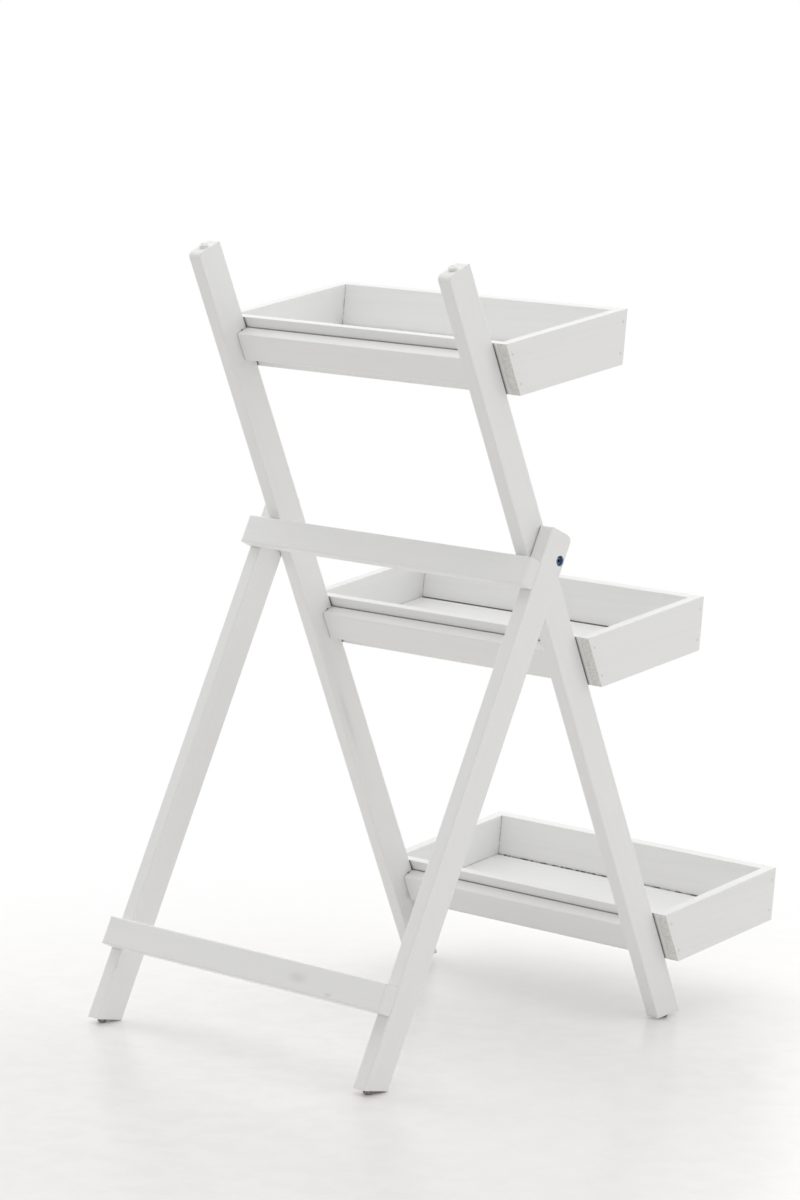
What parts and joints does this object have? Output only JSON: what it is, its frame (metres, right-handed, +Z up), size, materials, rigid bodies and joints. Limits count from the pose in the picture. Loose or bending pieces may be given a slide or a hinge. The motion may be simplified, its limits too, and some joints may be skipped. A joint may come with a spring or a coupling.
{
  "type": "plant ladder stand",
  "caption": "Folding white wooden plant ladder: leaning stiles carry shallow trays whose front edges tilt up, and a hinged rear frame swings out behind on pivot bolts.",
  "frame": {"origin": "on the floor, in the middle of the open ladder's footprint box", "axes": "+X across the ladder, to the right as seen from the trays; -Y to the front, where the trays are; +Z up, with the ladder standing open"},
  "size_m": [0.489, 0.7503, 0.9742],
  "materials": {
    "painted_timber": "silk-matt white paint over planed softwood, grain faintly telegraphing",
    "painted_board": "silk-matt white paint over thin boards, faint grain and knots bleeding through",
    "blued_steel": "blue-black passivated steel",
    "dark_cup": "black steel",
    "zinc_steel": "bright zinc plate",
    "painted_nail": "painted over with the boards, slightly grey",
    "dowel_wood": "bare beech",
    "foot_glide": "worn grey-brown plastic",
    "white_glide": "glossy white plastic"
  },
  "bodies": {
    "front_ladder": {"stile_left": "painted_timber", "stile_right": "painted_timber", "tray_rail_top": "painted_timber", "tray_rail_middle": "painted_timber", "tray_rail_bottom": "painted_timber", "tray_top_left_side": "painted_board", "tray_top_right_side": "painted_board", "tray_top_front": "painted_board", "tray_top_rear": "painted_board", "tray_top_floor": "painted_board", "tray_middle_left_side": "painted_board", "tray_middle_right_side": "painted_board", "tray_middle_front": "painted_board", "tray_middle_rear": "painted_board", "tray_middle_floor": "painted_board", "tray_bottom_left_side": "painted_board", "tray_bottom_right_side": "painted_board", "tray_bottom_front": "painted_board", "tray_bottom_rear": "painted_board", "tray_bottom_floor": "painted_board", "pivot_bolts": "blued_steel", "pivot_washers": "zinc_steel", "pivot_inserts": "zinc_steel", "rail_dowels": "dowel_wood", "tray_screws": "zinc_steel", "tray_nails": "painted_nail", "ladder_foot_glides": "foot_glide", "top_glides": "white_glide"},
    "rear_frame": {"rear_leg_left": "painted_timber", "rear_leg_right": "painted_timber", "upper_bar": "painted_timber", "lower_bar": "painted_timber", "pivot_cups": "dark_cup", "bar_dowels": "dowel_wood", "rear_foot_glides": "foot_glide"}
  },
  "joints": [
    {"name": "rear_frame_fold", "type": "hinge", "parent": "front_ladder", "child": "rear_frame", "pos_m": [0, 0.05437, 0.61044], "axis": [1, 0, 0], "range_deg": [-48.7, 0]}
  ]
}
